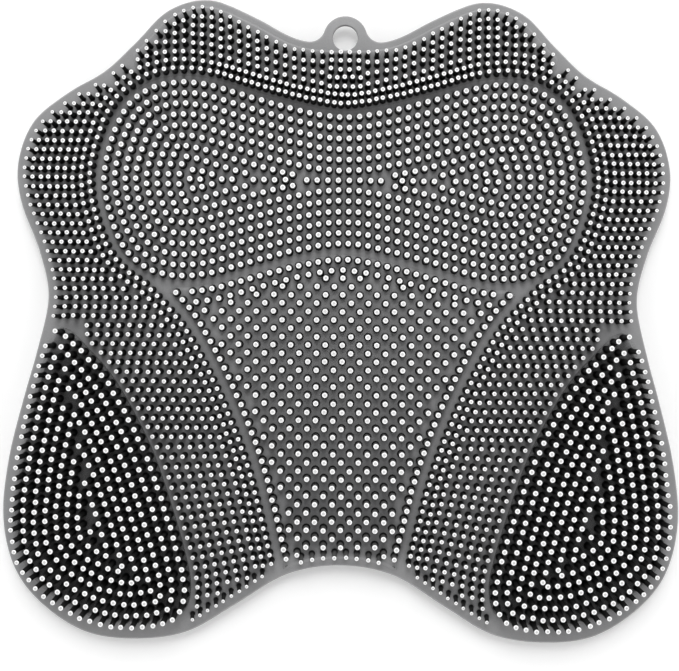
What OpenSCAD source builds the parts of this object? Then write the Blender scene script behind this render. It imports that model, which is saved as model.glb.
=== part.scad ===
// Shower foot scrubber: one soft moulding with a bristled top, a hanging eye and suction cups below.
// It lies flat on its cups. +Z is up out of the bristles and +Y points to the hanging eye.
// The left half mirrors the right half, so every curve and row below is drawn for x >= 0.

/* [Mat] */
// Width across the two heel lobes
mat_w = 304; // [280:1:330]
// Length from the humps beside the eye to the ends of the heel lobes
mat_l = 288; // [270:1:310]
// Thickness of the sheet that carries the bristles
sheet_t = 2.2; // [1.6:0.1:3]
// Height that the face, fan and lobe pads stand above the sheet
pad_rise = 0.4; // [0.3:0.05:0.8]
// Sheet left around each pad's outer bristles
pad_margin = 2.2; // [1.8:0.1:2.6]

/* [Bristles] */
// Height of the bristles along the crown, the flanks and the wings
flank_h = 7.5; // [5:0.5:10]
// Height of the bristles in the face zone
face_h = 4.5; // [3:0.5:8]
// Height of the fan's bristles at its lower end
fan_foot_h = 8; // [4:0.5:10]
// Height of the bristles on the heel lobes
lobe_h = 12; // [7:0.5:14]
// Tip diameter along the crown, the flanks and the wings
slim_tip_d = 2.1; // [1.6:0.1:2.4]
// Tip diameter in the face zone and the fan
stout_tip_d = 2.7; // [2:0.1:3]
// Tip diameter on the heel lobes
lobe_tip_d = 2.5; // [2:0.1:3]
// Extra diameter of a bristle at its foot
foot_flare = 0.3; // [0.1:0.05:0.5]

/* [Rows] */
// Distance from the rim to the first bristles
rim_margin = 5.2; // [4.6:0.1:7]
// Width of the lane between the face zone and the crown
crown_lane = 5.9; // [5:0.1:8]
// Width of the lane between the face zone and the fan
fan_top_lane = 7.2; // [6:0.1:9]
// Width of the lane beside the fan
fan_side_lane = 6.8; // [5.5:0.1:8]
// Width of the lane between a wing and its lobe
lobe_lane = 5.8; // [5:0.1:8]
// Spacing of the two tight rows under the eye
tight_pitch = 3.1; // [2.9:0.1:4]
// Spacing of the crown's columns, and of the flanks' rows
column_pitch = 4.1; // [3.8:0.1:5]
// Spacing along the flanks' rows
flank_pitch = 3.8; // [3.6:0.1:5]
// Spacing along the wings' rows
wing_pitch = 4.5; // [4:0.1:6]
// Distance between the face zone's rings of bristles, and along them
face_pitch = 4.75; // [4.4:0.05:6]
// Spacing across the fan's diamond grid
fan_pitch = 7.7; // [7:0.1:9]
// Distance between the heel lobes' rings of bristles, and along them
lobe_pitch = 4.8; // [4.4:0.1:6]

/* [Hanging eye] */
// Diameter of the hole in the hanging eye
eye_d = 11.2; // [8:0.2:12]
// Width of the ring round the hole
eye_wall = 4.3; // [3:0.1:6]
// Distance from the hole's centre to the rim below it
eye_reach = 2.9; // [2:0.1:4]
// Radius of the fillets between the eye and the rim
eye_fillet = 7; // [4:0.5:9]

/* [Suction cups] */
// Diameter of a suction cup at its lip
cup_d = 18; // [14:0.5:22]
// Height of the cups below the sheet
cup_h = 4.6; // [3.5:0.1:7]
// Thickness of a cup's skirt
cup_skirt = 0.9; // [0.7:0.1:1.2]
// Diameter of the neck that joins a cup to the sheet
cup_neck_d = 7; // [5:0.5:9]
// Distance between the cups
cup_pitch = 34; // [26:1:44]

/* [Hidden] */
$fn = 24;

// Steps along a curve between two of its knots
steps = 4;
// Distance that bristles, pads and cups are rooted in what carries them
root = 0.3;
// Nearest that two bristles stand where rings meet
min_gap = 3.4;

// Heights above the surface that the cups rest on
sheet_z = cup_h;
top_z = sheet_z + sheet_t;
pad_z = top_z + pad_rise;
crown_z = top_z + pad_rise / 2;

// Knots of the curves, each a share in percent of half the width and half the length
arch_rim = [[0, -76.5], [16, -79.5], [31, -89], [45, -97.5]];
flank_rim = [
    [60, -100], [75, -98], [88, -89.5], [96.5, -78], [100, -62], [98.5, -44], [94.5, -26], [90, -8.5],
    [87.2, 7], [90, 21], [95.6, 36.5], [96.5, 49], [92, 61.5], [82, 70.5], [71, 77.5], [62, 86.5], [52.5, 96.5]
];
crown_rim = [[40.5, 100], [27.5, 95], [14, 88], [0, 86.5]];
face_quarter = [[70.5, 0], [68.5, 11.5], [64, 22], [57, 28], [48.5, 30], [39, 29], [27.5, 25.5], [13, 21.5], [0, 19.5]];
face_middle = 43.6;
fan_side_knots = [[15.5, -75], [18.5, -62], [22, -47.5], [27, -32.5], [34, -16], [42.5, 0], [50, 9.5]];
lobe_knots = [
    [83, -4.5], [75.5, -11], [68.5, -19.5], [62, -31], [56.5, -43], [51.5, -58], [47.5, -72], [45.5, -82.5],
    [47, -90], [52.5, -93], [62.5, -94], [72.5, -92], [81.5, -87.5], [89, -81], [94, -72], [95, -60],
    [93.5, -44.5], [91, -30.5], [87, -14]
];

// Curves and rows of points

function share(k) = [k.x * mat_w / 200, k.y * mat_l / 200];

function flip(p) = [-p.x, p.y];

// A right half that starts and ends on the middle line, closed by its mirror image
function both_halves(h) = concat(h, [for (i = [len(h) - 2 : -1 : 1]) flip(h[i])]);

// A right half that ends on the middle line, carried on by its mirror image
function across(h) = concat(h, [for (i = [len(h) - 2 : -1 : 0]) flip(h[i])]);

function backwards(c) = [for (i = [len(c) - 1 : -1 : 0]) c[i]];

// Point at t between the knots b and c of a smooth curve, with a and d the knots on either side
function between(a, b, c, d, t) =
    (2 * b + t * (c - a) + t * t * (2 * a - 5 * b + 4 * c - d) + t * t * t * (3 * b - a - 3 * c + d)) / 2;

function closed_curve(k) = let (n = len(k)) [
    for (i = [0 : n - 1], j = [0 : steps - 1])
        between(k[(i + n - 1) % n], k[i], k[(i + 1) % n], k[(i + 2) % n], j / steps)
];

function open_curve(k) = let (n = len(k), e = concat([2 * k[0] - k[1]], k, [2 * k[n - 1] - k[n - 2]])) concat(
    [for (i = [1 : n - 1], j = [0 : steps - 1]) between(e[i - 1], e[i], e[i + 1], e[i + 2], j / steps)],
    [k[n - 1]]
);

// A closed curve that runs anticlockwise, moved inwards by d
function inset(c, d) = let (n = len(c)) [
    for (i = [0 : n - 1]) let (t = c[(i + 1) % n] - c[(i + n - 1) % n]) c[i] + d * [-t.y, t.x] / norm(t)
];

// An open curve moved to its right by d
function beside(c, d) = let (n = len(c)) [
    for (i = [0 : n - 1]) let (t = c[min(i + 1, n - 1)] - c[max(i - 1, 0)]) c[i] + d * [t.y, -t.x] / norm(t)
];

function clearance(p, c) = min([for (q = c) norm(q - p)]);

// The inset ring at depth d, without the stretches that another side of the curve has overtaken
function ring(c, d) = [for (p = inset(c, d)) if (clearance(p, c) > d - 0.15) p];

function lengths(c) = [
    for (i = 0, s = 0; i < len(c); s = s + (i + 1 < len(c) ? norm(c[i + 1] - c[i]) : 0), i = i + 1) s
];

// Points at an even pitch along a curve, the first at a share of the pitch from its start
function spaced(c, pitch, start = 0.5) = let (
    s = lengths(c),
    n = max(1, round(s[len(s) - 1] / pitch)),
    xs = [for (i = [0 : len(c) - 1]) [s[i], c[i].x]],
    ys = [for (i = [0 : len(c) - 1]) [s[i], c[i].y]]
) [for (i = [0 : n - 1]) let (u = (i + start) * s[len(s) - 1] / n) [lookup(u, xs), lookup(u, ys)]];

// Tables that give a curve's x at a height, or its y at a distance from the middle
function by_height(c) = [for (p = c) [p.y, p.x]];

function by_side(c) = [for (p = c) [p.x, p.y]];

// Rim

rim_knots = [for (k = concat(arch_rim, flank_rim, crown_rim)) share(k)];
rim = closed_curve(both_halves(rim_knots));
rim_rows = inset(rim, rim_margin);
pad_rim = inset(rim, rim_margin - pad_margin);
arch_end = len(arch_rim) * steps;
flank_end = arch_end + len(flank_rim) * steps;
crown_end = flank_end + (len(crown_rim) - 1) * steps;
rim_top = rim[crown_end].y;
eye_y = rim_top + eye_reach;
arch_row = [for (i = [0 : arch_end]) rim_rows[i]];
flank_out = by_height([for (i = [arch_end : flank_end]) rim_rows[i]]);
// The corner where the crown's columns end and the flanks' rows start
corner = share([61.5, 72]);
// The crown's columns stop short in the hollow between the eye and the hump
hollow = share([23.5, 0]).x;
hollow_half_w = share([14.5, 0]).x;
hollow_gap = 1.7;
function hollow_drop(x) = hollow_gap * max(0, 1 - pow((x - hollow) / hollow_half_w, 2));
crown_out = by_side([
    for (i = [crown_end : -1 : 0]) let (p = rim_rows[i]) if (p.y > corner.y) p - [0, hollow_drop(p.x)]
]);

// Face zone: rings round two foci, merging into long rows between them

face_y = face_middle * mat_l / 200;
face_top = [for (k = face_quarter) share(k) + [0, face_y]];
face_low = [for (i = [len(face_quarter) - 1 : -1 : 1]) let (k = share(face_quarter[i])) [k.x, face_y - k.y]];
face = closed_curve(both_halves(concat(face_low, face_top)));
face_depth = share(face_quarter[4]).y;
focus_x = share(face_quarter[4]).x;
// Rows of a ring closer than this to the middle line would meet across it
face_merge = 1.9;
face_rings = [
    for (d = [0 : face_pitch : face_depth - face_pitch / 2])
        for (p = spaced([for (q = ring(face, d)) if (q.x > -0.01) q], face_pitch - 0.3))
            if (abs(p.y - face_y) > face_merge || p.x > focus_x) p
];
face_spine = [
    for (x = [face_pitch / 2 : face_pitch : focus_x])
        if (clearance([x, face_y], face_rings) > min_gap) [x, face_y]
];
face_points = concat(face_rings, face_spine);

// Fan: a side row, two rows under the face zone, a row along the arch and a diamond grid between them

fan_side = open_curve([for (k = fan_side_knots) share(k)]);
fan_corner = fan_side[len(fan_side) - 1];
fan_side_table = by_height(fan_side);
function under_face(d) = [
    for (p = inset(face, -d)) if (p.x > -0.01 && p.y < face_y && p.x < fan_corner.x - min_gap / 2) p
];
fan_roof = under_face(fan_top_lane);
fan_second = [for (p = under_face(fan_top_lane + face_pitch)) if (p.x < lookup(p.y, fan_side_table) - min_gap) p];
fan_floor = [for (p = arch_row) if (p.x < lookup(p.y, fan_side_table)) p];
fan_side_row = spaced(fan_side, face_pitch - 0.3);
fan_frame = concat(
    fan_side_row,
    [for (p = spaced(fan_roof, face_pitch - 0.2)) if (clearance(p, fan_side_row) > min_gap) p],
    spaced(fan_second, face_pitch + 0.3, 0),
    spaced(fan_floor, face_pitch)
);
fan_pad_side = beside(fan_side, pad_margin);
fan_pad_floor = [for (i = [0 : arch_end]) if (pad_rim[i].x < fan_pad_side[0].x) pad_rim[i]];
fan_pad_roof = backwards([
    for (p = inset(face, pad_margin - fan_top_lane)) if (p.x > -0.01 && p.y < face_y && p.x < fan_corner.x) p
]);
fan_pad = both_halves(concat(fan_pad_floor, fan_pad_side, fan_pad_roof));
fan_second_table = by_side(fan_second);
fan_floor_table = by_side(fan_floor);
fan_row = fan_pitch * 0.485;
// Nearest that the grid comes to the rows round it
grid_gap = 3.1;
fan_grid = [
    for (k = [0 : ceil((fan_roof[0].y - fan_floor[0].y) / fan_row)], j = [0 : ceil(fan_corner.x / fan_pitch)])
        let (p = [(j + (k % 2) / 2) * fan_pitch, fan_second[0].y - (k + 1) * fan_row])
        if (p.x < lookup(p.y, fan_side_table) - min_gap
            && p.y < lookup(p.x, fan_second_table)
            && p.y > lookup(p.x, fan_floor_table)
            && clearance(p, fan_frame) > grid_gap) p
];
fan_points = concat(fan_frame, fan_grid);

// Heel lobes: rings, with a last row along the spine

lobe = closed_curve([for (k = lobe_knots) share(k)]);
lobe_points = [
    for (d = [0 : lobe_pitch : mat_w / 8])
        let (c = ring(lobe, d))
        if (len(c) > 3)
            let (s = spaced(c, lobe_pitch - 0.2, 0))
            for (i = [0 : len(s) - 1])
                if (i < 2 || clearance(s[i], [for (j = [0 : i - 2]) s[j]]) > min_gap) s[i]
];

// Crown, flanks and wings: two rows along the lane, then columns on the crown and rows on the sides

lane_low = beside(fan_side, fan_side_lane);
// The lane runs on past the fan's lower corner
lane_foot = 2 * lane_low[0] - lane_low[1];
// Its edge leaves the fan at the top, and picks up the face zone a little further out
join_gap = 8;
lane_join = lane_low[len(lane_low) - 1].x + join_gap;
lane_high = [for (p = inset(face, -crown_lane)) if (p.x > -0.01 && (p.y > face_y || p.x > lane_join)) p];
lane_edge = concat([lane_foot], lane_low, lane_high);
// Distance between the two rows along the lane
row_gap = 3.7;
lane_third = beside(lane_edge, 2 * row_gap);
flank_in = by_height([for (p = lane_third) if (p.x > focus_x || p.y < face_y) p]);
crown_in = by_side(backwards([for (p = lane_third) if (p.y > face_y) p]));
foot_table = by_side(arch_row);
// Distance from the middle at which the two rows' tight spacing ends
tight_end = 0.4 * mat_w / 2;
function above_foot(p) = p.y > lookup(p.x, foot_table) + min_gap;
function lane_row(d) = let (
    c = beside(lane_edge, d),
    split = len([for (p = c) if (p.y < face_y || p.x >= tight_end) p])
) concat(
    [for (p = spaced([for (i = [0 : split]) c[i]], column_pitch)) if (above_foot(p)) p],
    spaced([for (i = [split : len(c) - 1]) c[i]], tight_pitch)
);
lane_rows = concat(lane_row(0), lane_row(row_gap));
function on_crown(p) = p.y > face_y && p.x < corner.x + column_pitch / 2;

// Under the eye, five bristles stand in each of the lowest rows in place of four
close_rows = 2;
crown_columns = [
    for (x = [column_pitch / 2 : column_pitch : corner.x])
        let (low = lookup(x, crown_in), high = lookup(x, crown_out), n = round((high - low) / column_pitch))
        for (i = [x < 2 * column_pitch ? close_rows : 0 : n]) [x, low + (high - low) * i / max(n, 1)]
];
close_points = [
    for (i = [0 : close_rows - 1], j = [0 : 2]) [j * column_pitch * 5 / 6, lookup(0, crown_in) + i * column_pitch]
];
// One row follows the rim round the corner between them
corner_row = spaced(
    [for (p = rim_rows) if (p.x > corner.x + row_gap / 4 && p.y > corner.y + row_gap / 2) p], column_pitch
);

wing_edge = inset(lobe, -lobe_lane);
lobe_peak = max([for (p = wing_edge) p.y]);
// Stretch of that edge from the lobe's peak down to its lower end, in knots
wing_out = by_height(backwards([for (i = [floor(0.5 * steps) + 1 : ceil(7.5 * steps) - 1]) wing_edge[i]]));
// The wings' rows dip outwards towards the heel
dip_start = -0.35 * mat_l / 2;
function dip(y) = 0.2 * min(1, max(0, (dip_start - y) / (0.4 * mat_l / 2)));
function row_end(x, y) = let (x1 = lookup(y, wing_out)) lookup(y - dip(y) * (x1 - x), wing_out);
side_rows = [
    for (y = [corner.y : -column_pitch : -mat_l / 2])
        let (
            low = lookup(y, flank_in),
            high = y > lobe_peak ? lookup(y, flank_out) : row_end(low, y),
            n = round((high - low) / (y > face_y - face_depth ? flank_pitch : wing_pitch))
        )
        for (i = [0 : n])
            let (x = low + (high - low) * i / max(n, 1), p = [x, y - dip(y) * (x - low)])
            if (above_foot(p)) p
];
// A last row follows the rim from the lane to the lobe
wing_foot = [
    for (p = spaced([for (q = arch_row) if (q.x > lane_low[0].x - 1) q], column_pitch))
        if (clearance(p, lobe) > lobe_lane) p
];
crown_points = concat(crown_columns, close_points, [for (p = lane_rows) if (on_crown(p)) p]);
flank_points = concat(
    [for (p = lane_rows) if (!on_crown(p)) p], corner_row, side_rows, wing_foot
);
crown_pad = concat(
    across([for (i = [0 : crown_end]) if (on_crown(pad_rim[i])) pad_rim[i]]),
    backwards(across([for (p = beside(lane_edge, -pad_margin)) if (on_crown(p)) p]))
);

// The fan's bristles grow longer towards its lower end
function fan_h(p) = let (t = (fan_corner.y - p.y) / (fan_corner.y - fan_side[0].y))
    face_h + (fan_foot_h - face_h) * min(1, max(0, t));

// Suction cups: staggered rows that keep clear of the rim

cup_row = cup_pitch * sin(60);
cup_margin = 3;
cup_rows = ceil(mat_w / 2 / cup_row);
function inside(p, c) = let (n = len(c)) len([
    for (i = [0 : n - 1]) let (a = c[i], b = c[(i + 1) % n])
        if ((a.y > p.y) != (b.y > p.y) && p.x < a.x + (b.x - a.x) * (p.y - a.y) / (b.y - a.y)) 1
]) % 2 == 1;
cup_places = [
    for (k = [-cup_rows : cup_rows], j = [-cup_rows : cup_rows])
        let (p = [(j + abs(k % 2) / 2) * cup_pitch, k * cup_row])
        if (inside(p, rim) && clearance(p, rim) > cup_d / 2 + cup_margin) p
];

module bristle(p, z, h, tip_d) {
    translate([p.x, p.y, z - root])
        cylinder(h = h + root, d1 = tip_d + foot_flare, d2 = tip_d);
}

module both_sides(points, z, h, tip_d) {
    for (p = points) {
        bristle(p, z, h, tip_d);
        if (p.x > 0.01)
            bristle(flip(p), z, h, tip_d);
    }
}

module pad(outline, z = pad_z) {
    translate([0, 0, top_z - root])
        linear_extrude(z - top_z + root)
            polygon(outline);
}

module suction_cup(p) {
    neck_z = cup_h * 0.7;
    hollow_z = neck_z - cup_skirt;
    translate([p.x, p.y, 0])
        rotate_extrude()
            polygon([
                [0, cup_h + root], [cup_neck_d / 2, cup_h + root], [cup_neck_d / 2, neck_z],
                [cup_d / 2, cup_skirt / 2], [cup_d / 2, 0], [cup_d / 2 - cup_skirt, 0], [0, hollow_z]
            ]);
}

module eye() {
    eye_r = eye_d / 2 + eye_wall;
    // Middles of the circles that touch the rim from outside, of which the fillet's also touches the eye
    outside = inset(rim, -eye_fillet);
    function at_fillet(c, k) = lookup(
        eye_r + eye_fillet, [for (i = [crown_end : -1 : flank_end]) [norm(outside[i] - [0, eye_y]), c[i][k]]]
    );
    middle = [at_fillet(outside, 0), at_fillet(outside, 1)];
    foot = [at_fillet(rim, 0), at_fillet(rim, 1)];
    touch = ([0, eye_y] * eye_fillet + middle * eye_r) / (eye_r + eye_fillet);
    half = [touch, middle, foot, [foot.x, foot.y - sheet_t]];
    difference() {
        union() {
            translate([0, eye_y, 0])
                cylinder(h = sheet_t, r = eye_r);
            linear_extrude(sheet_t)
                polygon(concat(half, [for (p = backwards(half)) flip(p)]));
        }
        for (m = [middle, flip(middle)])
            translate([m.x, m.y, -1])
                cylinder(h = sheet_t + 2, r = eye_fillet);
    }
}

module sheet() {
    translate([0, 0, sheet_z])
        difference() {
            union() {
                linear_extrude(sheet_t)
                    polygon(rim);
                eye();
            }
            translate([0, eye_y, -1])
                cylinder(h = sheet_t + 2, d = eye_d);
        }
}

module mat() {
    color([0.36, 0.36, 0.37])
        union() {
            sheet();
            pad(inset(face, -pad_margin));
            pad(fan_pad);
            pad(inset(lobe, -pad_margin));
            pad([for (p = backwards(inset(lobe, -pad_margin))) flip(p)]);
            pad(crown_pad, crown_z);
            both_sides(face_points, pad_z, face_h, stout_tip_d);
            for (p = fan_points)
                both_sides([p], pad_z, fan_h(p), stout_tip_d);
            both_sides(lobe_points, pad_z, lobe_h, lobe_tip_d);
            both_sides(crown_points, crown_z, flank_h, slim_tip_d);
            both_sides(flank_points, top_z, flank_h, slim_tip_d);
            for (p = cup_places)
                suction_cup(p);
        }
}

mat();
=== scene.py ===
import math

import bmesh
import bpy
import numpy as np
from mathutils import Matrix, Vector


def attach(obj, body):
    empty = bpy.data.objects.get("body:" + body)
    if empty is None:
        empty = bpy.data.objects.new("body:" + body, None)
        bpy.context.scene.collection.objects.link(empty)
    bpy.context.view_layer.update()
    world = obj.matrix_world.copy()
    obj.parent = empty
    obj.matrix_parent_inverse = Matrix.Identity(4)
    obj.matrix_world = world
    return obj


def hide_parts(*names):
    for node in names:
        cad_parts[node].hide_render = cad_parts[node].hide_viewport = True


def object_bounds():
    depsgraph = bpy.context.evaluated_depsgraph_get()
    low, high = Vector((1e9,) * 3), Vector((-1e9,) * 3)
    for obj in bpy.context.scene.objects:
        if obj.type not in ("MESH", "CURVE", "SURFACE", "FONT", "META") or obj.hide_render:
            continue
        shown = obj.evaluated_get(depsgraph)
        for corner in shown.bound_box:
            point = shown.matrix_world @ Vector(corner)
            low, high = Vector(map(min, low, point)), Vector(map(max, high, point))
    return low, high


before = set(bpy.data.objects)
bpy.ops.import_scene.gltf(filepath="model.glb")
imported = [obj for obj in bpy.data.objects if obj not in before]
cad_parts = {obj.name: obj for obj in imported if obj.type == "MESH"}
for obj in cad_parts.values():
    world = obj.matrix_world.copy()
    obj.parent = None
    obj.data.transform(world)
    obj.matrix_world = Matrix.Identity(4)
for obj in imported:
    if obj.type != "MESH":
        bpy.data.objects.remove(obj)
cad_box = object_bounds()

# The moulding's solid
# The mat leaves its mould in one piece, so every outline, level and bristle of the pieces below is read
# from that one solid: its level faces give the heights, and level cuts give the outlines.

MM = 0.001
LEVEL_WITHIN = 0.001 * MM
HEIGHT_DECIMALS = 5
SMALLEST_LEVEL_AREA = 0.002

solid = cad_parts["mat"].data
solid.calc_loop_triangles()
solid_points = np.empty(len(solid.vertices) * 3, np.float32)
solid.vertices.foreach_get("co", solid_points)
solid_corners = np.empty(len(solid.loop_triangles) * 3, np.int32)
solid.loop_triangles.foreach_get("vertices", solid_corners)
triangles = solid_points.reshape(-1, 3)[solid_corners].reshape(-1, 3, 3).astype(float)

level_triangles = triangles[np.ptp(triangles[:, :, 2], axis=1) < LEVEL_WITHIN]
level_height = level_triangles[:, :, 2].mean(axis=1)
side_one = level_triangles[:, 1] - level_triangles[:, 0]
side_two = level_triangles[:, 2] - level_triangles[:, 0]
signed_area = (side_one[:, 0] * side_two[:, 1] - side_one[:, 1] * side_two[:, 0]) / 2


def levels(area):
    """Heights, lowest first, at which the level faces of an area above zero add up to a sheet or a pad."""
    heights, which = np.unique(level_height.round(HEIGHT_DECIMALS), return_inverse=True)
    total = np.bincount(which, np.maximum(area, 0))
    return [float(h) for h, a in zip(heights, total) if a > SMALLEST_LEVEL_AREA]


sheet_bottom = levels(-signed_area)[-1]
sheet_top = [h for h in levels(signed_area) if h > sheet_bottom][0]

# Camera
# It looks straight down from a little over half a metre above the sheet, as a mat laid out flat is
# pictured. The mat's middle lies above the picture's, and the picture is turned by half a degree.

PICTURE = (679, 671)
MAT_MIDDLE = (342.5, 321.0)
SHEET_PER_PIXEL = 0.45 * MM
CAMERA_ABOVE_SHEET = 540 * MM
CLIP_START = 10 * MM
SENSOR_WIDTH = 36
ROLL = math.radians(0.57)

camera = bpy.data.objects.new("camera", bpy.data.cameras.new("camera"))
bpy.context.scene.collection.objects.link(camera)
camera.data.sensor_width = SENSOR_WIDTH
camera.data.lens = SENSOR_WIDTH * CAMERA_ABOVE_SHEET / (PICTURE[0] * SHEET_PER_PIXEL)
camera.data.shift_x = (PICTURE[0] / 2 - MAT_MIDDLE[0]) / PICTURE[0]
camera.data.shift_y = (MAT_MIDDLE[1] - PICTURE[1] / 2) / PICTURE[0]
camera.data.clip_start = CLIP_START
camera.location = (0, 0, sheet_top + CAMERA_ABOVE_SHEET)
camera.rotation_euler = (0, 0, ROLL)
bpy.context.scene.camera = camera

# Silicone
# The whole mat is one grey silicone with a satin skin. The mould leaves a fine grain and a faint, cloudy
# bloom on every face, and painted shade darkens the skin deep between the bristles. One shader group gives
# all three.

CLOUD_SCALE = 45.0
CLOUD_SHADE = 2.0
GRAIN_SCALE = 1600.0
GRAIN_SHADE = 0.2
GRAIN_ROUGHNESS = 0.25
GRAIN_HEIGHT = 0.05 * MM
SILICONE_IOR = 1.41


def add(tree, kind, inputs=None, **settings):
    """Adds a node with its settings, its inputs fed by other nodes' sockets or set to plain values."""
    node = tree.nodes.new(kind)
    for name, value in settings.items():
        setattr(node, name, value)
    for name, value in (inputs or {}).items():
        if isinstance(value, bpy.types.NodeSocket):
            tree.links.new(value, node.inputs[name])
        else:
            node.inputs[name].default_value = value
    return node


def mould_skin():
    """Shader group: colour, roughness and height of a moulded silicone face, the colour darkened by painted
    shade where other faces stand near.
    """
    skin = bpy.data.node_groups.new("mould_skin", "ShaderNodeTree")
    skin.interface.new_socket("Colour", in_out="INPUT", socket_type="NodeSocketColor")
    for name in ("Bloom", "Painted_shade", "Reach", "Roughness"):
        skin.interface.new_socket(name, in_out="INPUT", socket_type="NodeSocketFloat")
    skin.interface.new_socket("Colour", in_out="OUTPUT", socket_type="NodeSocketColor")
    for name in ("Roughness", "Height"):
        skin.interface.new_socket(name, in_out="OUTPUT", socket_type="NodeSocketFloat")
    given = add(skin, "NodeGroupInput").outputs
    place = add(skin, "ShaderNodeTexCoord").outputs["Object"]

    def noise(scale, detail):
        inputs = {"Vector": place, "Scale": scale, "Detail": detail}
        return add(skin, "ShaderNodeTexNoise", inputs).outputs["Fac"]

    def number(operation, *inputs, **settings):
        node = add(skin, "ShaderNodeMath", dict(enumerate(inputs)), operation=operation, **settings)
        return node.outputs[0]

    cloud = noise(CLOUD_SCALE, 3.0)
    grain = noise(GRAIN_SCALE, 2.0)
    swing = number("MULTIPLY", number("SUBTRACT", cloud, 0.5), given["Bloom"])
    speck = number("SUBTRACT", grain, 0.5)
    shade = number("MULTIPLY_ADD", swing, CLOUD_SHADE, 1.0)
    shade = number("MULTIPLY_ADD", speck, GRAIN_SHADE, shade)
    # Painted shade: the colour is darkened where other faces stand within the reach, by the share the group
    # is given.
    openness = add(skin, "ShaderNodeAmbientOcclusion", {"Distance": given["Reach"]}, samples=4)
    lost = number("SUBTRACT", openness.outputs["AO"], 1.0)
    kept = number("MULTIPLY_ADD", lost, given["Painted_shade"], 1.0, use_clamp=True)
    shade = number("MULTIPLY", shade, kept)
    colour = add(skin, "ShaderNodeVectorMath", {0: given["Colour"], "Scale": shade}, operation="SCALE")
    rough = number("MULTIPLY_ADD", speck, GRAIN_ROUGHNESS, given["Roughness"])
    result = add(skin, "NodeGroupOutput").inputs
    skin.links.new(colour.outputs[0], result["Colour"])
    skin.links.new(rough, result["Roughness"])
    skin.links.new(grain, result["Height"])
    return skin


MOULD_SKIN = mould_skin()


def silicone(name, colour, roughness, bloom, grain, gloss, painted_shade=0.0, reach=3 * MM):
    """A silicone finish. colour is a plain grey, or a function that adds nodes and returns their socket.
    The argument before reach sets how strongly painted shade darkens the skin where something stands nearer
    to it than reach."""
    material = bpy.data.materials.new(name)
    material.use_nodes = True
    tree = material.node_tree
    shader = tree.nodes["Principled BSDF"]
    base = colour(tree) if callable(colour) else (*colour, 1.0)
    skin = add(
        tree, "ShaderNodeGroup",
        {"Colour": base, "Bloom": bloom, "Painted_shade": painted_shade, "Reach": reach, "Roughness": roughness},
        node_tree=MOULD_SKIN,
    )
    height = {"Height": skin.outputs["Height"], "Strength": grain, "Distance": GRAIN_HEIGHT}
    bump = add(tree, "ShaderNodeBump", height)
    tree.links.new(skin.outputs["Colour"], shader.inputs["Base Color"])
    tree.links.new(skin.outputs["Roughness"], shader.inputs["Roughness"])
    tree.links.new(bump.outputs["Normal"], shader.inputs["Normal"])
    shader.inputs["IOR"].default_value = SILICONE_IOR
    shader.inputs["Specular IOR Level"].default_value = gloss
    return material


# Sheet and hanging eye
# The sheet is a little over two millimetres of silicone with a soft rounded rim, and the eye with its hole
# is moulded on between the two humps of the crown, level with the sheet.

SHEET_GREY = (0.295, 0.295, 0.299)
SHEET_FINISH = {"roughness": 0.5, "bloom": 0.12, "grain": 0.35, "gloss": 0.5}
RIM_ROUNDING = 0.85 * MM
UNDERSIDE_ROUNDING = 0.5 * MM
HOLE_ROUNDING_SHARE = 0.4
ROUNDING_STEPS = 4
SHORTEST_OUTLINE = 30 * MM
SAME_POINT_WITHIN = 0.02 * MM
STRAIGHT_WITHIN = math.radians(0.3)
CURVE_STEP = 1.2 * MM
CORNER_LIMIT = 0.8


def cut_outlines(z):
    """Closed outlines of the solid where a level plane cuts it, with the material on their left. The short
    ones, which run round single bristles, are left out."""
    above = triangles[:, :, 2] > z
    crossing = triangles[above.any(axis=1) & ~above.all(axis=1)]
    follows = {}
    for corners in crossing:
        ends = {}
        for a, b in ((0, 1), (1, 2), (2, 0)):
            p, q = corners[a], corners[b]
            if (p[2] > z) != (q[2] > z):
                at = p + (q - p) * (z - p[2]) / (q[2] - p[2])
                ends[bool(p[2] > z)] = (frozenset((tuple(p), tuple(q))), at[:2])
        follows[ends[False][0]] = ends[True]
    loops = []
    while follows:
        edge = next(iter(follows))
        loop = []
        while edge in follows:
            edge, at = follows.pop(edge)
            loop.append(at)
        loop = np.array(loop)
        if np.linalg.norm(loop - np.roll(loop, 1, axis=0), axis=1).sum() > SHORTEST_OUTLINE:
            loops.append(loop)
    largest = max(loops, key=lambda loop: abs(loop_area(loop)))
    return loops if loop_area(largest) > 0 else [loop[::-1] for loop in loops]


def loop_area(loop):
    """Area inside a closed outline, above zero if it runs anticlockwise."""
    after = np.roll(loop, -1, axis=0)
    return float((loop[:, 0] * after[:, 1] - loop[:, 1] * after[:, 0]).sum() / 2)


def corners_only(loop):
    """An outline without the points that lie on the straight line between their neighbours."""
    loop = loop[np.linalg.norm(loop - np.roll(loop, 1, axis=0), axis=1) > SAME_POINT_WITHIN]
    before = loop - np.roll(loop, 1, axis=0)
    after = np.roll(loop, -1, axis=0) - loop
    across = before[:, 0] * after[:, 1] - before[:, 1] * after[:, 0]
    turn = np.abs(np.arctan2(across, (before * after).sum(axis=1)))
    return loop[turn > STRAIGHT_WITHIN]


def smooth_loop(loop):
    """A smooth closed curve through an outline's corners, with evenly spaced points, in the solid's box."""
    loop = corners_only(loop)
    ahead = np.roll(loop, -1, axis=0) - loop
    length = np.linalg.norm(ahead, axis=1)
    slope = ahead / length[:, None]
    back_length = np.roll(length, 1)
    tangent = np.roll(slope, 1, axis=0) * length[:, None] + slope * back_length[:, None]
    tangent /= (length + back_length)[:, None]
    curve = []
    for i, start in enumerate(loop):
        j = (i + 1) % len(loop)
        leaving, arriving = tangent[i] * length[i], tangent[j] * length[i]
        for t in np.arange(0, 1, 1 / max(1, round(length[i] / CURVE_STEP))):
            curve.append(
                (2 * t**3 - 3 * t**2 + 1) * start + (t**3 - 2 * t**2 + t) * leaving
                + (3 * t**2 - 2 * t**3) * loop[j] + (t**3 - t**2) * arriving
            )
    return np.clip(curve, cad_box[0][:2], cad_box[1][:2])


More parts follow.
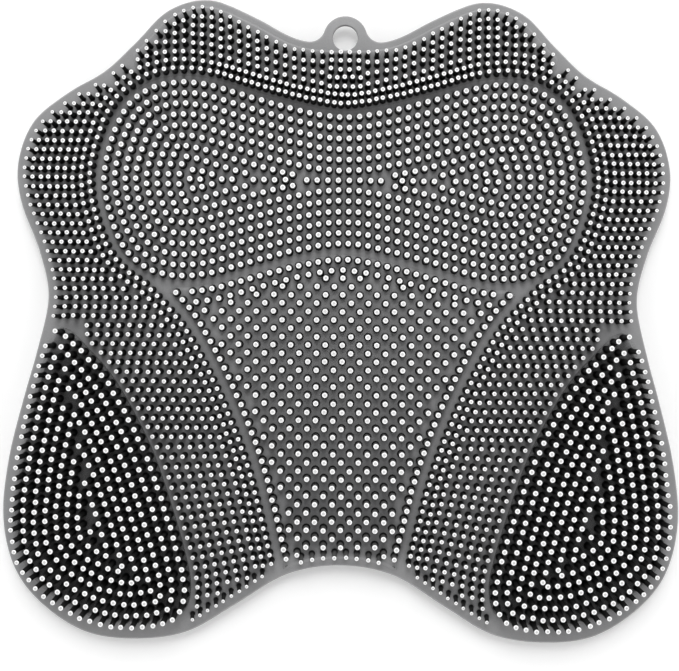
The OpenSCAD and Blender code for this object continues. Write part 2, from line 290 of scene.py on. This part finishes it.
def moved_in(loop, distance):
    """An outline moved towards the material on its left. A sharp corner moves less than a full mitre."""
    ahead = np.roll(loop, -1, axis=0) - loop
    ahead /= np.linalg.norm(ahead, axis=1)[:, None]
    normal = np.stack([-ahead[:, 1], ahead[:, 0]], axis=1)
    middle = normal + np.roll(normal, 1, axis=0)
    middle /= np.maximum((middle * middle).sum(axis=1), CORNER_LIMIT)[:, None] / 2
    return loop + middle * distance


def slab(name, loops, edge, material):
    """A closed slab between outlines. edge lists its rings from the bottom up, each a set-back and a
    height, and each outline comes with the share of the set-back that it takes."""
    shape = bmesh.new()
    caps = ([], [])
    for loop, share in loops:
        rings = []
        for back, height in edge:
            rings.append([shape.verts.new((*point, height)) for point in moved_in(loop, back * share)])
        for lower, upper in zip(rings, rings[1:]):
            for i in range(len(loop)):
                j = (i + 1) % len(loop)
                shape.faces.new((lower[i], lower[j], upper[j], upper[i])).smooth = True
        for cap, ring in zip(caps, (rings[0], rings[-1])):
            cap.extend(shape.edges.get((ring[i - 1], ring[i])) for i in range(len(ring)))
    for cap in caps:
        bmesh.ops.triangle_fill(shape, edges=cap, use_beauty=True)
    bmesh.ops.recalc_face_normals(shape, faces=shape.faces)
    mesh = bpy.data.meshes.new(name)
    shape.to_mesh(mesh)
    shape.free()
    mesh.materials.append(material)
    return hand_in(name, mesh)


def hand_in(name, mesh):
    """Makes a mesh a piece of the mat: it rides on the mat's body and stands for the solid."""
    piece = bpy.data.objects.new(name, mesh)
    bpy.context.scene.collection.objects.link(piece)
    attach(piece, "root")
    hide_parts("mat")
    return piece


def rounded_edge(low, high, low_radius, high_radius):
    """Rings of a rounded edge from the bottom up, with a quarter circle at each end."""
    turns = [math.pi / 2 * k / ROUNDING_STEPS for k in range(ROUNDING_STEPS + 1)]
    lower = [(low_radius * (1 - math.sin(a)), low + low_radius * (1 - math.cos(a))) for a in turns]
    upper = [(high_radius * (1 - math.cos(a)), high - high_radius * (1 - math.sin(a))) for a in turns]
    return lower + upper


# The sheet's skin takes painted shade near the bristles' feet.
SHEET_SILICONE = silicone("sheet_silicone", SHEET_GREY, painted_shade=1.25, reach=2.4 * MM, **SHEET_FINISH)
sheet_loops = [smooth_loop(loop) for loop in cut_outlines((sheet_bottom + sheet_top) / 2)]
slab(
    "sheet",
    [(loop, 1 if loop_area(loop) > 0 else HOLE_ROUNDING_SHARE) for loop in sheet_loops],
    rounded_edge(sheet_bottom, sheet_top, UNDERSIDE_ROUNDING, RIM_ROUNDING),
    SHEET_SILICONE,
)

# Pads
# The crown, the face zone, the fan and the two heel lobes each stand on a low pad that the mould raises
# from the sheet. A pad's edge is a soft slope, so that it shows only as a change of light.

HIGHEST_PAD = 1.5 * MM
CUT_BELOW_TOP = 0.03 * MM
PAD_SLOPE_PER_HEIGHT = 4.25
SLOPE_STEPS = 6
PAD_ROOT = 0.3 * MM
CROWN_REACHES = 0.8
LOBES_LIE_BEYOND = 0.4

# The lobe and crown pads wear copies of the sheet's silicone with stronger painted shade between their
# taller bristles.
LOBE_PAINTED_SHADE_SILICONE = silicone("lobe_painted_shade_silicone", SHEET_GREY, painted_shade=1.8, reach=8 * MM, **SHEET_FINISH)
CROWN_PAINTED_SHADE_SILICONE = silicone("crown_painted_shade_silicone", SHEET_GREY, painted_shade=1.6, reach=3 * MM, **SHEET_FINISH)
PAD_SILICONE = {"left_lobe": LOBE_PAINTED_SHADE_SILICONE, "right_lobe": LOBE_PAINTED_SHADE_SILICONE, "crown": CROWN_PAINTED_SHADE_SILICONE}


def soft_slope(low, high):
    """Rings of a pad's edge from the bottom up: a buried root, then a rise that starts and ends level."""
    width = PAD_SLOPE_PER_HEIGHT * (high - low)
    steps = [k / SLOPE_STEPS for k in range(SLOPE_STEPS + 1)]
    rise = [(width * t, low + (high - low) * t * t * (3 - 2 * t)) for t in steps]
    return [(0, low - PAD_ROOT)] + rise


def pad_name(loop):
    """Which pad an outline belongs to, by where it lies on the mat."""
    x, y = loop.mean(axis=0)
    if loop[:, 1].max() > CROWN_REACHES * mat_half[1]:
        return "crown"
    if abs(x) > LOBES_LIE_BEYOND * mat_half[0]:
        return "right_lobe" if x > 0 else "left_lobe"
    return "face" if y > 0 else "fan"


mat_half = np.array(cad_box[1])
pad_levels = [h for h in levels(signed_area) if sheet_top < h < sheet_top + HIGHEST_PAD]
pads = {}
for level in reversed(pad_levels):
    for loop in cut_outlines(level - CUT_BELOW_TOP):
        pads.setdefault(pad_name(loop), (loop, level))
for name, (loop, level) in pads.items():
    material = PAD_SILICONE.get(name, SHEET_SILICONE)
    slab(name + "_pad", [(smooth_loop(loop), 1)], soft_slope(sheet_top, level), material)

# Suction cups
# The underside holds the mat to the shower floor with rows of soft cups, each a short neck and a thin bell
# that ends in a feather-edged lip. They are moulded with the sheet.

CUP_SIDES = 28
CUP_ROOT = 0.3 * MM
LIPS_BELOW = 0.1 * MM
PLACE_DECIMALS = 7
LEAN_SEED = 7


def discs(chosen):
    """Middle and radius of each separate level face among the chosen triangles: x, y, z and radius."""
    every_corner = level_triangles[chosen].reshape(-1, 3).round(PLACE_DECIMALS)
    points, corner = np.unique(every_corner, axis=0, return_inverse=True)
    corner = corner.reshape(-1, 3)
    group = np.arange(len(points))
    settled = False
    while not settled:
        lowest = group.copy()
        np.minimum.at(lowest, corner, group[corner].min(axis=1)[:, None])
        settled = bool((lowest == group).all())
        group = lowest
    which = np.unique(group, return_inverse=True)[1]
    count = np.bincount(which)
    middle = np.stack([np.bincount(which, points[:, k]) / count for k in range(3)], axis=1)
    reach = np.linalg.norm(points - middle[which], axis=1)
    radius = np.zeros(len(count))
    np.maximum.at(radius, which, reach)
    return np.column_stack([middle, radius])


def turned_tree(name, sides, sizes, rings):
    """Geometry nodes that put a turned shape at each point. Its rings run from its lower face to its upper
    one. Each is a share of the point's radius, a share of its height, and a named size that is added to the
    height there, or taken off it."""
    tree = bpy.data.node_groups.new(name, "GeometryNodeTree")
    tree.interface.new_socket("Places", in_out="INPUT", socket_type="NodeSocketGeometry")
    for size, value in {**sizes, "Lean": 0.0}.items():
        socket = tree.interface.new_socket(size, in_out="INPUT", socket_type="NodeSocketFloat")
        socket.default_value = value
    seed = tree.interface.new_socket("Seed", in_out="INPUT", socket_type="NodeSocketInt")
    seed.default_value = LEAN_SEED
    tree.interface.new_socket("Silicone", in_out="INPUT", socket_type="NodeSocketMaterial")
    tree.interface.new_socket("Geometry", in_out="OUTPUT", socket_type="NodeSocketGeometry")
    given = add(tree, "NodeGroupInput").outputs
    position = add(tree, "GeometryNodeInputPosition").outputs["Position"]

    def vector(operation, *inputs):
        node = add(tree, "ShaderNodeVectorMath", dict(enumerate(inputs)), operation=operation)
        return node.outputs["Vector"]

    def number(operation, *inputs):
        return add(tree, "ShaderNodeMath", dict(enumerate(inputs)), operation=operation).outputs[0]

    def scaled(direction, factor):
        inputs = {0: direction, "Scale": factor}
        return add(tree, "ShaderNodeVectorMath", inputs, operation="SCALE").outputs["Vector"]

    def step(kind, geometry, inputs=None, **settings):
        return add(tree, kind, {"Geometry": geometry, **(inputs or {})}, **settings).outputs["Geometry"]

    def stored(geometry, attribute, value, kind="FLOAT"):
        inputs = {"Name": attribute, "Value": value}
        return step("GeometryNodeStoreNamedAttribute", geometry, inputs, data_type=kind, domain="POINT")

    def read(attribute, kind="FLOAT"):
        node = add(tree, "GeometryNodeInputNamedAttribute", {"Name": attribute}, data_type=kind)
        return node.outputs["Attribute"]

    # One blank: a closed tube whose rings are numbered from its lower end
    bands = len(rings) - 1
    cylinder = {"Vertices": sides, "Side Segments": bands, "Radius": 1.0, "Depth": 1.0}
    blank = add(tree, "GeometryNodeMeshCylinder", cylinder, fill_type="NGON").outputs["Mesh"]
    level = add(tree, "ShaderNodeSeparateXYZ", {0: position}).outputs["Z"]
    blank = stored(blank, "ring", number("MULTIPLY_ADD", level, float(bands), bands / 2))

    # A blank at each point, which remembers its point's place and how far its end leans
    to_any_side = add(
        tree, "FunctionNodeRandomValue", {"Min": (-1, -1, 0), "Max": (1, 1, 0), "Seed": given["Seed"]},
        data_type="FLOAT_VECTOR",
    ).outputs["Value"]
    places = stored(given["Places"], "middle", position, "FLOAT_VECTOR")
    lean = vector("ADD", scaled(to_any_side, given["Lean"]), read("splay", "FLOAT_VECTOR"))
    places = stored(places, "lean", scaled(lean, read("height")), "FLOAT_VECTOR")
    copies = add(tree, "GeometryNodeInstanceOnPoints", {"Points": places, "Instance": blank})
    copies = step("GeometryNodeRealizeInstances", copies.outputs["Instances"])

    # Each ring takes its radius and height
    ring = add(tree, "FunctionNodeFloatToInt", {0: read("ring")}, rounding_mode="ROUND").outputs[0]

    def by_ring(values):
        switch = add(tree, "GeometryNodeIndexSwitch", {"Index": ring}, data_type="FLOAT")
        while len(switch.index_switch_items) < len(values):
            switch.index_switch_items.new()
        for k, value in enumerate(values):
            if isinstance(value, bpy.types.NodeSocket):
                tree.links.new(value, switch.inputs[k + 1])
            else:
                switch.inputs[k + 1].default_value = value
        return switch.outputs[0]

    def offset(size):
        if not size:
            return 0.0
        return given[size] if size in sizes else number("MULTIPLY", given[size.removeprefix("-")], -1.0)

    middle = read("middle", "FLOAT_VECTOR")
    outward = vector("MULTIPLY", vector("SUBTRACT", position, middle), (1, 1, 0))
    radius = number("MULTIPLY", by_ring([r[0] for r in rings]), read("radius"))
    share = by_ring([r[1] for r in rings])
    height = number("MULTIPLY_ADD", share, read("height"), by_ring([offset(r[2]) for r in rings]))
    rise = add(tree, "ShaderNodeCombineXYZ", {"Z": height}).outputs["Vector"]
    place = vector("ADD", middle, vector("ADD", scaled(outward, radius), rise))
    place = vector("ADD", place, scaled(read("lean", "FLOAT_VECTOR"), share))
    shape = step("GeometryNodeSetPosition", copies, {"Position": place})
    for attribute in ("middle", "lean", "splay", "radius", "height"):
        shape = step("GeometryNodeRemoveAttribute", shape, {"Name": attribute})
    shape = step("GeometryNodeSetShadeSmooth", shape)
    shape = step("GeometryNodeSetMaterial", shape, {"Material": given["Silicone"]})
    tree.links.new(shape, add(tree, "NodeGroupOutput").inputs["Geometry"])
    return tree


def turned(name, tree, places, radii, heights, material, splay=None, **inputs):
    """Makes one piece of the turned shapes that a tree puts at these places, as a plain mesh. splay is how
    far each end leans to a known side, and Lean how far it may lean to any side, as shares of the height."""
    mesh = bpy.data.meshes.new(name + "_places")
    mesh.from_pydata([tuple(p) for p in places], [], [])
    for attribute, values in {"radius": radii, "height": heights}.items():
        numbers = mesh.attributes.new(attribute, "FLOAT", "POINT").data
        numbers.foreach_set("value", np.asarray(values, np.float32))
    if splay is not None:
        vectors = np.column_stack([splay, np.zeros(len(splay))]).astype(np.float32)
        mesh.attributes.new("splay", "FLOAT_VECTOR", "POINT").data.foreach_set("vector", vectors.ravel())
    carrier = bpy.data.objects.new(name + "_places", mesh)
    bpy.context.scene.collection.objects.link(carrier)
    modifier = carrier.modifiers.new(name, "NODES")
    modifier.node_group = tree
    sockets = {s.name: s.identifier for s in tree.interface.items_tree if s.in_out == "INPUT"}
    modifier[sockets["Silicone"]] = material
    for socket, value in inputs.items():
        modifier[sockets[socket]] = value
    depsgraph = bpy.context.evaluated_depsgraph_get()
    made = bpy.data.meshes.new_from_object(carrier.evaluated_get(depsgraph), depsgraph=depsgraph)
    made.name = name
    bpy.data.objects.remove(carrier)
    bpy.data.meshes.remove(mesh)
    return hand_in(name, made)


# From the middle of the hollow down to the lip, over it, and up the bell to the neck
CUP_RINGS = [
    (0.12, 0.44, None), (0.4, 0.4, None), (0.66, 0.28, None), (0.84, 0.12, None), (0.93, 0, None),
    (0.985, 0, None), (1, 0.06, None), (0.9, 0.22, None), (0.75, 0.42, None), (0.55, 0.6, None),
    (0.42, 0.7, None), (0.39, 0.8, None), (0.39, 1, "Root"),
]
CUP_TREE = turned_tree("suction_cups", CUP_SIDES, {"Root": CUP_ROOT}, CUP_RINGS)
CUP_SILICONE = silicone("cup_silicone", SHEET_GREY, roughness=0.42, bloom=0.1, grain=0.2, gloss=0.5)
lips = discs((signed_area < 0) & (level_height < LIPS_BELOW))
turned(
    "suction_cups", CUP_TREE, [(x, y, 0) for x, y in lips[:, :2]], lips[:, 3],
    np.full(len(lips), sheet_bottom), CUP_SILICONE,
)

# Bristles
# Over three thousand soft bristles are moulded with the sheet. Each is a slightly tapered post with a
# rounded tip and a shallow dimple that the mould's vent pin leaves. Its colour is painted light and shade:
# a nearly white painted highlight on the tip, painted shade down the shaft and black painted shade at the
# foot.

TIPS_ABOVE_PADS = 1 * MM
BRISTLE_SIDES = 12
BRISTLE_SIZES = {"Root": 0.3 * MM, "Fillet": 0.9 * MM, "Shoulder": 0.3 * MM, "Dimple": 0.1 * MM}
BRISTLE_RINGS = [
    (1.5, 0, "-Root"), (1.06, 0, "Fillet"), (1, 1, "-Shoulder"), (0.74, 1, None), (0.38, 1, "-Dimple"),
]
LEAN = 0.025
LOBE_SPLAY = 0.06
RIM_SPLAY = 0.22
RIM_ROW_GAP = 3.5 * MM
RIM_ROWS_WIDTH = 7 * MM
SLIMMER_AT_RIM = 0.25

BRISTLE_FINISH = {"roughness": 0.4, "bloom": 0.06, "grain": 0.15, "gloss": 0.06}
# Painted light and shade along each bristle: black painted shade at the foot and under the tip's edge,
# painted shade down the shaft, a painted highlight on the tip and a dimmer one in the dimple.
PAINTED_SHADE_BLACK = 0.004
LOW_SHAFT_PAINTED_SHADE = 0.09
TALL_SHAFT_PAINTED_SHADE = 0.022
TIP_PAINTED_HIGHLIGHT = 0.95
DIMPLE_PAINTED_HIGHLIGHT = 0.6
FOOT_TO = 0.25
SHAFT_FROM = 0.33
SHAFT_TO = 0.45
LOW_TIP_FROM = 0.63
TALL_TIP_FROM = 0.58
TIP_EDGE_WIDTH = 0.05
TIP_TO = 0.86
DIMPLE_FROM = 0.98


def bristle_colour(shaft, tip_from):
    """Painted light and shade along a bristle: black painted shade round the foot and under the tip's edge,
    darker painted shade down the shaft, a nearly white painted highlight on the tip and a dimmer grey one in
    its dimple. Places are shares of the way from the root to the dimple."""
    greys = [
        (0.0, PAINTED_SHADE_BLACK), (FOOT_TO, PAINTED_SHADE_BLACK), (SHAFT_FROM, shaft), (SHAFT_TO, shaft),
        (tip_from - TIP_EDGE_WIDTH, PAINTED_SHADE_BLACK), (tip_from, TIP_PAINTED_HIGHLIGHT), (TIP_TO, TIP_PAINTED_HIGHLIGHT),
        (DIMPLE_FROM, DIMPLE_PAINTED_HIGHLIGHT),
    ]

    def along_bristle(tree):
        ring = add(tree, "ShaderNodeAttribute", attribute_name="ring", attribute_type="GEOMETRY")
        inputs = {0: ring.outputs["Fac"], 1: float(len(BRISTLE_RINGS) - 1)}
        along = add(tree, "ShaderNodeMath", inputs, operation="DIVIDE").outputs[0]
        ramp = add(tree, "ShaderNodeValToRGB", {"Fac": along})
        elements = ramp.color_ramp.elements
        while len(elements) < len(greys):
            elements.new(0.5)
        for element, (position, grey) in zip(elements, greys):
            element.position = position
            element.color = (grey, grey, grey, 1.0)
        return ramp.outputs["Color"]

    return along_bristle


def inside(points, loop):
    """Which of the points lie inside a closed outline."""
    found = np.zeros(len(points), bool)
    for a, b in zip(loop, np.roll(loop, -1, axis=0)):
        between = (a[1] > points[:, 1]) != (b[1] > points[:, 1])
        edge_x = a[0] + (b[0] - a[0]) * (points[:, 1] - a[1]) / (b[1] - a[1] if b[1] != a[1] else 1)
        found ^= between & (points[:, 0] < edge_x)
    return found


def to_outline(points, loop):
    """How far each point is from an outline, and the direction in which it lies."""
    gap = loop[None, :, :] - points[:, None, :]
    distance = np.linalg.norm(gap, axis=2)
    nearest = distance.argmin(axis=1)
    every = np.arange(len(points))
    return distance[every, nearest], gap[every, nearest] / distance[every, nearest][:, None]


BRISTLE_TREE = turned_tree("bristles", BRISTLE_SIDES, BRISTLE_SIZES, BRISTLE_RINGS)
# Two painted copies of the bristle colours: the tall bristles get a darker painted shade down the shaft and
# a painted tip highlight that starts a little lower.
LOW_BRISTLE_PAINTED_LIGHT = silicone(
    "low_bristle_painted_light", bristle_colour(LOW_SHAFT_PAINTED_SHADE, LOW_TIP_FROM), **BRISTLE_FINISH
)
TALL_BRISTLE_PAINTED_LIGHT = silicone(
    "tall_bristle_painted_light", bristle_colour(TALL_SHAFT_PAINTED_SHADE, TALL_TIP_FROM), **BRISTLE_FINISH
)

tips = discs((signed_area > 0) & (level_height > max(pad_levels) + TIPS_ABOVE_PADS))
zone = np.full(len(tips), "flank", dtype=object)
foot = np.full(len(tips), sheet_top)
for name, (loop, level) in pads.items():
    within = inside(tips[:, :2], loop)
    zone[within] = name
    foot[within] = level

# The rows along the rim are slimmer, and their feet stand further in than their tips
rim_distance, rimward = to_outline(tips[:, :2], max(sheet_loops, key=loop_area))
at_rim = np.clip(1 - (rim_distance - RIM_ROW_GAP) / RIM_ROWS_WIDTH, 0, 1)
radii = tips[:, 3] * (1 - SLIMMER_AT_RIM * at_rim)
heights = tips[:, 2] - foot
splay = RIM_SPLAY * at_rim[:, None] * rimward
feet = tips[:, :2] - splay * heights[:, None]

# The lobes' outer rows lean outwards from feet that stand below the solid's tips
for name in ("left_lobe", "right_lobe"):
    here = zone == name
    edge_distance, edgeward = to_outline(tips[here, :2], smooth_loop(pads[name][0]))
    at_edge = np.clip(1 - (edge_distance - edge_distance.min()) / RIM_ROWS_WIDTH, 0, 1)
    splay[here] = LOBE_SPLAY * at_edge[:, None] * edgeward
    feet[here] = tips[here, :2]

for name in sorted(set(zone)):
    here = zone == name
    turned(
        name + "_bristles", BRISTLE_TREE, np.column_stack([feet[here], foot[here]]), radii[here],
        heights[here], LOW_BRISTLE_PAINTED_LIGHT if name in ("face", "fan") else TALL_BRISTLE_PAINTED_LIGHT,
        splay=splay[here], Lean=LEAN,
    )

# Floor and light
# A plain white floor takes the mat's soft shadow. White walls all round and a large soft lamp beyond the
# hanging eye light the mat at a plain level, and the roof, where the camera looks in, stays dim.

FLOOR_HALF = 2
FLOOR_WHITE = 0.95
FLOOR_ROUGHNESS = 0.9
FLOOR_LIFT = 0.12
WALL_LIGHT = 1.9
ROOF_LIGHT = 0.1
WALLS_TO = 0.35
ROOF_FROM = 0.85
SURROUND_WHITE = 1.0
LAMP_SIZE = 1.1
LAMP_POWER = 20
LAMP_PLACE = (0, 1.2, 1.6)

floor_corners = [(x * FLOOR_HALF, y * FLOOR_HALF, 0) for x, y in ((-1, -1), (1, -1), (1, 1), (-1, 1))]
floor_mesh = bpy.data.meshes.new("floor")
floor_mesh.from_pydata(floor_corners, [], [(0, 1, 2, 3)])
floor = bpy.data.objects.new("floor", floor_mesh)
bpy.context.scene.collection.objects.link(floor)


def seen_directly(tree):
    """One where a picture, a mirror or clear glass sees the surface, and nought where it lights things."""
    ray = add(tree, "ShaderNodeLightPath").outputs
    seen = ray["Is Camera Ray"]
    for kind in ("Is Glossy Ray", "Is Transmission Ray"):
        seen = add(tree, "ShaderNodeMath", {0: seen, 1: ray[kind]}, operation="MAXIMUM").outputs[0]
    return seen


floor_paint = bpy.data.materials.new("floor_paint")
floor_paint.use_nodes = True
floor_tree = floor_paint.node_tree
paint = floor_tree.nodes["Principled BSDF"]
paint.inputs["Base Color"].default_value = (FLOOR_WHITE, FLOOR_WHITE, FLOOR_WHITE, 1)
paint.inputs["Roughness"].default_value = FLOOR_ROUGHNESS
paint.inputs["Emission Color"].default_value = (1, 1, 1, 1)
lift = {0: seen_directly(floor_tree), 1: FLOOR_LIFT}
glow = add(floor_tree, "ShaderNodeMath", lift, operation="MULTIPLY").outputs[0]
floor_tree.links.new(glow, paint.inputs["Emission Strength"])
floor_mesh.materials.append(floor_paint)

world = bpy.data.worlds.new("surrounding")
bpy.context.scene.world = world
world.use_nodes = True
world_tree = world.node_tree
surround = world_tree.nodes["Background"]
surround.inputs["Color"].default_value = (1, 1, 1, 1)
direction = add(world_tree, "ShaderNodeTexCoord").outputs["Generated"]
upward = add(world_tree, "ShaderNodeSeparateXYZ", {0: direction}).outputs["Z"]
from_walls_to_roof = {
    "Value": upward, "From Min": WALLS_TO, "From Max": ROOF_FROM, "To Min": WALL_LIGHT, "To Max": ROOF_LIGHT,
}
walls = add(world_tree, "ShaderNodeMapRange", from_walls_to_roof, interpolation_type="SMOOTHSTEP")
walls_or_white = {
    "Value": seen_directly(world_tree), "To Min": walls.outputs["Result"], "To Max": SURROUND_WHITE,
}
strength = add(world_tree, "ShaderNodeMapRange", walls_or_white).outputs["Result"]
world_tree.links.new(strength, surround.inputs["Strength"])

lamp = bpy.data.objects.new("soft_lamp", bpy.data.lights.new("soft_lamp", "AREA"))
lamp.data.shape = "DISK"
lamp.data.size = LAMP_SIZE
lamp.data.energy = LAMP_POWER
lamp.location = LAMP_PLACE
lamp.rotation_euler = (-math.atan2(lamp.location.y, lamp.location.z), 0, 0)
bpy.context.scene.collection.objects.link(lamp)

bpy.context.scene.view_settings.view_transform = "Standard"
